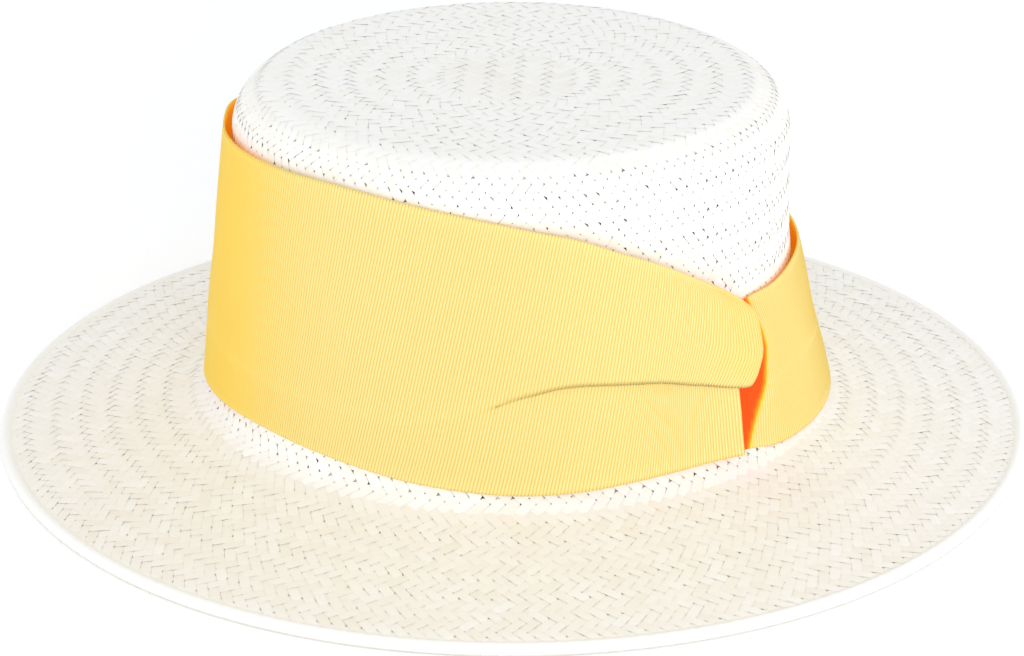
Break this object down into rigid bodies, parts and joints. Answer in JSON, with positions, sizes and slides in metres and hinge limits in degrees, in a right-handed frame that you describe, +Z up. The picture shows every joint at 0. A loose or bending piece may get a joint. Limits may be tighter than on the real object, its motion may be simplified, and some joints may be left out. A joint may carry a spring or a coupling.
{
  "type": "boater hat",
  "caption": "Round-crowned boater of white woven paper straw with a wide sloping brim, a turned hem and a wide pale yellow ribbon lapped at one side",
  "frame": {"origin": "centre of the hem's underside, on the crown's axis", "axes": "X along the crown's length, Y along its width, Z up through the crown"},
  "size_m": [0.3466, 0.3308, 0.1253],
  "materials": {
    "paper_straw": "matte",
    "grosgrain_ribbon": "satin"
  },
  "bodies": {
    "root": {"straw_body": "paper_straw", "ribbon_band": "grosgrain_ribbon"}
  },
  "joints": []
}
